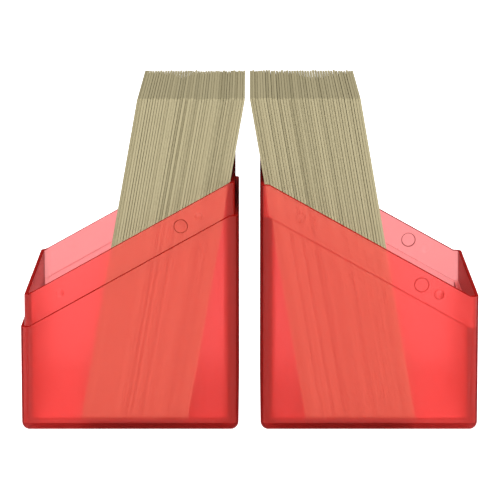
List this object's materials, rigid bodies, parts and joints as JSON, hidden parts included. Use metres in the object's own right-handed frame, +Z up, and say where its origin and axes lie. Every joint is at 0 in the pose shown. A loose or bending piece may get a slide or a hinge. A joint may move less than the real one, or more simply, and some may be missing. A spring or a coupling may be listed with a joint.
{
  "type": "card deck box",
  "caption": "Frosted card box opened into a slanted base tray with an inner lip and a matching lid tray, each holding a leaning deck of sleeved cards.",
  "frame": {"origin": "on the table, midway between the two trays (the middle of the whole row's footprint)", "axes": "+X runs along the row from the base tray to the lid tray, +Y to the back, +Z up"},
  "size_m": [0.1296, 0.077, 0.0947],
  "materials": {
    "frosted_red": "frosted translucent",
    "card_edges": "matt sleeved card"
  },
  "bodies": {
    "base": {"base_shell": "frosted_red"},
    "lid": {"lid_shell": "frosted_red"},
    "deck_a": {"cards_a_01": "card_edges"},
    "cards_a_02": {"cards_a_02": "card_edges"},
    "cards_a_03": {"cards_a_03": "card_edges"},
    "cards_a_04": {"cards_a_04": "card_edges"},
    "cards_a_05": {"cards_a_05": "card_edges"},
    "cards_a_06": {"cards_a_06": "card_edges"},
    "cards_a_07": {"cards_a_07": "card_edges"},
    "cards_a_08": {"cards_a_08": "card_edges"},
    "cards_a_09": {"cards_a_09": "card_edges"},
    "cards_a_10": {"cards_a_10": "card_edges"},
    "cards_a_11": {"cards_a_11": "card_edges"},
    "cards_a_12": {"cards_a_12": "card_edges"},
    "cards_a_13": {"cards_a_13": "card_edges"},
    "cards_a_14": {"cards_a_14": "card_edges"},
    "cards_a_15": {"cards_a_15": "card_edges"},
    "cards_a_16": {"cards_a_16": "card_edges"},
    "cards_a_17": {"cards_a_17": "card_edges"},
    "cards_a_18": {"cards_a_18": "card_edges"},
    "cards_a_19": {"cards_a_19": "card_edges"},
    "cards_a_20": {"cards_a_20": "card_edges"},
    "deck_b": {"cards_b_01": "card_edges"},
    "cards_b_02": {"cards_b_02": "card_edges"},
    "cards_b_03": {"cards_b_03": "card_edges"},
    "cards_b_04": {"cards_b_04": "card_edges"},
    "cards_b_05": {"cards_b_05": "card_edges"},
    "cards_b_06": {"cards_b_06": "card_edges"},
    "cards_b_07": {"cards_b_07": "card_edges"},
    "cards_b_08": {"cards_b_08": "card_edges"},
    "cards_b_09": {"cards_b_09": "card_edges"},
    "cards_b_10": {"cards_b_10": "card_edges"},
    "cards_b_11": {"cards_b_11": "card_edges"},
    "cards_b_12": {"cards_b_12": "card_edges"},
    "cards_b_13": {"cards_b_13": "card_edges"},
    "cards_b_14": {"cards_b_14": "card_edges"},
    "cards_b_15": {"cards_b_15": "card_edges"},
    "cards_b_16": {"cards_b_16": "card_edges"},
    "cards_b_17": {"cards_b_17": "card_edges"},
    "cards_b_18": {"cards_b_18": "card_edges"},
    "cards_b_19": {"cards_b_19": "card_edges"},
    "cards_b_20": {"cards_b_20": "card_edges"}
  },
  "joints": [
    {"name": "lid_lift", "type": "slide", "parent": "base", "child": "lid", "axis": [0, 0, 1], "range_m": [0, 0.12]},
    {"name": "deck_a_lift", "type": "slide", "parent": "base", "child": "deck_a", "axis": [0, 0, 1], "range_m": [0, 0.1]},
    {"name": "deck_a_tip", "type": "hinge", "parent": "deck_a", "child": "cards_a_02", "pos_m": [-0.0208, 0, 0.00218], "axis": [0, -1, 0], "range_deg": [0, 20.39]},
    {"name": "cards_a_03_tip", "type": "hinge", "parent": "deck_a", "child": "cards_a_03", "pos_m": [-0.02232, 0, 0.00218], "axis": [0, -1, 0], "range_deg": [0, 20.39]},
    {"name": "cards_a_04_tip", "type": "hinge", "parent": "deck_a", "child": "cards_a_04", "pos_m": [-0.02384, 0, 0.00218], "axis": [0, -1, 0], "range_deg": [0, 20.39]},
    {"name": "cards_a_05_tip", "type": "hinge", "parent": "deck_a", "child": "cards_a_05", "pos_m": [-0.02535, 0, 0.00218], "axis": [0, -1, 0], "range_deg": [0, 20.39]},
    {"name": "cards_a_06_tip", "type": "hinge", "parent": "deck_a", "child": "cards_a_06", "pos_m": [-0.02687, 0, 0.00218], "axis": [0, -1, 0], "range_deg": [0, 20.39]},
    {"name": "cards_a_07_tip", "type": "hinge", "parent": "deck_a", "child": "cards_a_07", "pos_m": [-0.02839, 0, 0.00218], "axis": [0, -1, 0], "range_deg": [0, 20.39]},
    {"name": "cards_a_08_tip", "type": "hinge", "parent": "deck_a", "child": "cards_a_08", "pos_m": [-0.02991, 0, 0.00218], "axis": [0, -1, 0], "range_deg": [0, 20.39]},
    {"name": "cards_a_09_tip", "type": "hinge", "parent": "deck_a", "child": "cards_a_09", "pos_m": [-0.03143, 0, 0.00218], "axis": [0, -1, 0], "range_deg": [0, 20.39]},
    {"name": "cards_a_10_tip", "type": "hinge", "parent": "deck_a", "child": "cards_a_10", "pos_m": [-0.03294, 0, 0.00218], "axis": [0, -1, 0], "range_deg": [0, 20.39]},
    {"name": "cards_a_11_tip", "type": "hinge", "parent": "deck_a", "child": "cards_a_11", "pos_m": [-0.03446, 0, 0.00218], "axis": [0, -1, 0], "range_deg": [0, 20.39]},
    {"name": "cards_a_12_tip", "type": "hinge", "parent": "deck_a", "child": "cards_a_12", "pos_m": [-0.03598, 0, 0.00218], "axis": [0, -1, 0], "range_deg": [0, 20.39]},
    {"name": "cards_a_13_tip", "type": "hinge", "parent": "deck_a", "child": "cards_a_13", "pos_m": [-0.0375, 0, 0.00218], "axis": [0, -1, 0], "range_deg": [0, 20.39]},
    {"name": "cards_a_14_tip", "type": "hinge", "parent": "deck_a", "child": "cards_a_14", "pos_m": [-0.03902, 0, 0.00218], "axis": [0, -1, 0], "range_deg": [0, 20.39]},
    {"name": "cards_a_15_tip", "type": "hinge", "parent": "deck_a", "child": "cards_a_15", "pos_m": [-0.04053, 0, 0.00218], "axis": [0, -1, 0], "range_deg": [0, 20.39]},
    {"name": "cards_a_16_tip", "type": "hinge", "parent": "deck_a", "child": "cards_a_16", "pos_m": [-0.04205, 0, 0.00218], "axis": [0, -1, 0], "range_deg": [0, 20.39]},
    {"name": "cards_a_17_tip", "type": "hinge", "parent": "deck_a", "child": "cards_a_17", "pos_m": [-0.04357, 0, 0.00218], "axis": [0, -1, 0], "range_deg": [0, 20.39]},
    {"name": "cards_a_18_tip", "type": "hinge", "parent": "deck_a", "child": "cards_a_18", "pos_m": [-0.04509, 0, 0.00218], "axis": [0, -1, 0], "range_deg": [0, 20.39]},
    {"name": "cards_a_19_tip", "type": "hinge", "parent": "deck_a", "child": "cards_a_19", "pos_m": [-0.04661, 0, 0.00218], "axis": [0, -1, 0], "range_deg": [0, 20.39]},
    {"name": "cards_a_20_tip", "type": "hinge", "parent": "deck_a", "child": "cards_a_20", "pos_m": [-0.04812, 0, 0.00218], "axis": [0, -1, 0], "range_deg": [0, 20.39]},
    {"name": "deck_b_lift", "type": "slide", "parent": "lid", "child": "deck_b", "axis": [0, 0, 1], "range_m": [0, 0.1]},
    {"name": "deck_b_tip", "type": "hinge", "parent": "deck_b", "child": "cards_b_02", "pos_m": [0.01922, 0, 0.00218], "axis": [0, 1, 0], "range_deg": [0, 19.84]},
    {"name": "cards_b_03_tip", "type": "hinge", "parent": "deck_b", "child": "cards_b_03", "pos_m": [0.02078, 0, 0.00218], "axis": [0, 1, 0], "range_deg": [0, 19.84]},
    {"name": "cards_b_04_tip", "type": "hinge", "parent": "deck_b", "child": "cards_b_04", "pos_m": [0.02234, 0, 0.00218], "axis": [0, 1, 0], "range_deg": [0, 19.84]},
    {"name": "cards_b_05_tip", "type": "hinge", "parent": "deck_b", "child": "cards_b_05", "pos_m": [0.0239, 0, 0.00218], "axis": [0, 1, 0], "range_deg": [0, 19.84]},
    {"name": "cards_b_06_tip", "type": "hinge", "parent": "deck_b", "child": "cards_b_06", "pos_m": [0.02546, 0, 0.00218], "axis": [0, 1, 0], "range_deg": [0, 19.84]},
    {"name": "cards_b_07_tip", "type": "hinge", "parent": "deck_b", "child": "cards_b_07", "pos_m": [0.02702, 0, 0.00218], "axis": [0, 1, 0], "range_deg": [0, 19.84]},
    {"name": "cards_b_08_tip", "type": "hinge", "parent": "deck_b", "child": "cards_b_08", "pos_m": [0.02858, 0, 0.00218], "axis": [0, 1, 0], "range_deg": [0, 19.84]},
    {"name": "cards_b_09_tip", "type": "hinge", "parent": "deck_b", "child": "cards_b_09", "pos_m": [0.03015, 0, 0.00218], "axis": [0, 1, 0], "range_deg": [0, 19.84]},
    {"name": "cards_b_10_tip", "type": "hinge", "parent": "deck_b", "child": "cards_b_10", "pos_m": [0.03171, 0, 0.00218], "axis": [0, 1, 0], "range_deg": [0, 19.84]},
    {"name": "cards_b_11_tip", "type": "hinge", "parent": "deck_b", "child": "cards_b_11", "pos_m": [0.03327, 0, 0.00218], "axis": [0, 1, 0], "range_deg": [0, 19.84]},
    {"name": "cards_b_12_tip", "type": "hinge", "parent": "deck_b", "child": "cards_b_12", "pos_m": [0.03483, 0, 0.00218], "axis": [0, 1, 0], "range_deg": [0, 19.84]},
    {"name": "cards_b_13_tip", "type": "hinge", "parent": "deck_b", "child": "cards_b_13", "pos_m": [0.03639, 0, 0.00218], "axis": [0, 1, 0], "range_deg": [0, 19.84]},
    {"name": "cards_b_14_tip", "type": "hinge", "parent": "deck_b", "child": "cards_b_14", "pos_m": [0.03795, 0, 0.00218], "axis": [0, 1, 0], "range_deg": [0, 19.84]},
    {"name": "cards_b_15_tip", "type": "hinge", "parent": "deck_b", "child": "cards_b_15", "pos_m": [0.03951, 0, 0.00218], "axis": [0, 1, 0], "range_deg": [0, 19.84]},
    {"name": "cards_b_16_tip", "type": "hinge", "parent": "deck_b", "child": "cards_b_16", "pos_m": [0.04108, 0, 0.00218], "axis": [0, 1, 0], "range_deg": [0, 19.84]},
    {"name": "cards_b_17_tip", "type": "hinge", "parent": "deck_b", "child": "cards_b_17", "pos_m": [0.04264, 0, 0.00218], "axis": [0, 1, 0], "range_deg": [0, 19.84]},
    {"name": "cards_b_18_tip", "type": "hinge", "parent": "deck_b", "child": "cards_b_18", "pos_m": [0.0442, 0, 0.00218], "axis": [0, 1, 0], "range_deg": [0, 19.84]},
    {"name": "cards_b_19_tip", "type": "hinge", "parent": "deck_b", "child": "cards_b_19", "pos_m": [0.04576, 0, 0.00218], "axis": [0, 1, 0], "range_deg": [0, 19.84]},
    {"name": "cards_b_20_tip", "type": "hinge", "parent": "deck_b", "child": "cards_b_20", "pos_m": [0.04732, 0, 0.00218], "axis": [0, 1, 0], "range_deg": [0, 19.84]}
  ],
  "couplings": [
    {"joint": "cards_a_03_tip", "follows": "deck_a_tip", "ratio": 1},
    {"joint": "cards_a_04_tip", "follows": "deck_a_tip", "ratio": 1},
    {"joint": "cards_a_05_tip", "follows": "deck_a_tip", "ratio": 1},
    {"joint": "cards_a_06_tip", "follows": "deck_a_tip", "ratio": 1},
    {"joint": "cards_a_07_tip", "follows": "deck_a_tip", "ratio": 1},
    {"joint": "cards_a_08_tip", "follows": "deck_a_tip", "ratio": 1},
    {"joint": "cards_a_09_tip", "follows": "deck_a_tip", "ratio": 1},
    {"joint": "cards_a_10_tip", "follows": "deck_a_tip", "ratio": 1},
    {"joint": "cards_a_11_tip", "follows": "deck_a_tip", "ratio": 1},
    {"joint": "cards_a_12_tip", "follows": "deck_a_tip", "ratio": 1},
    {"joint": "cards_a_13_tip", "follows": "deck_a_tip", "ratio": 1},
    {"joint": "cards_a_14_tip", "follows": "deck_a_tip", "ratio": 1},
    {"joint": "cards_a_15_tip", "follows": "deck_a_tip", "ratio": 1},
    {"joint": "cards_a_16_tip", "follows": "deck_a_tip", "ratio": 1},
    {"joint": "cards_a_17_tip", "follows": "deck_a_tip", "ratio": 1},
    {"joint": "cards_a_18_tip", "follows": "deck_a_tip", "ratio": 1},
    {"joint": "cards_a_19_tip", "follows": "deck_a_tip", "ratio": 1},
    {"joint": "cards_a_20_tip", "follows": "deck_a_tip", "ratio": 1},
    {"joint": "cards_b_03_tip", "follows": "deck_b_tip", "ratio": 1},
    {"joint": "cards_b_04_tip", "follows": "deck_b_tip", "ratio": 1},
    {"joint": "cards_b_05_tip", "follows": "deck_b_tip", "ratio": 1},
    {"joint": "cards_b_06_tip", "follows": "deck_b_tip", "ratio": 1},
    {"joint": "cards_b_07_tip", "follows": "deck_b_tip", "ratio": 1},
    {"joint": "cards_b_08_tip", "follows": "deck_b_tip", "ratio": 1},
    {"joint": "cards_b_09_tip", "follows": "deck_b_tip", "ratio": 1},
    {"joint": "cards_b_10_tip", "follows": "deck_b_tip", "ratio": 1},
    {"joint": "cards_b_11_tip", "follows": "deck_b_tip", "ratio": 1},
    {"joint": "cards_b_12_tip", "follows": "deck_b_tip", "ratio": 1},
    {"joint": "cards_b_13_tip", "follows": "deck_b_tip", "ratio": 1},
    {"joint": "cards_b_14_tip", "follows": "deck_b_tip", "ratio": 1},
    {"joint": "cards_b_15_tip", "follows": "deck_b_tip", "ratio": 1},
    {"joint": "cards_b_16_tip", "follows": "deck_b_tip", "ratio": 1},
    {"joint": "cards_b_17_tip", "follows": "deck_b_tip", "ratio": 1},
    {"joint": "cards_b_18_tip", "follows": "deck_b_tip", "ratio": 1},
    {"joint": "cards_b_19_tip", "follows": "deck_b_tip", "ratio": 1},
    {"joint": "cards_b_20_tip", "follows": "deck_b_tip", "ratio": 1}
  ]
}
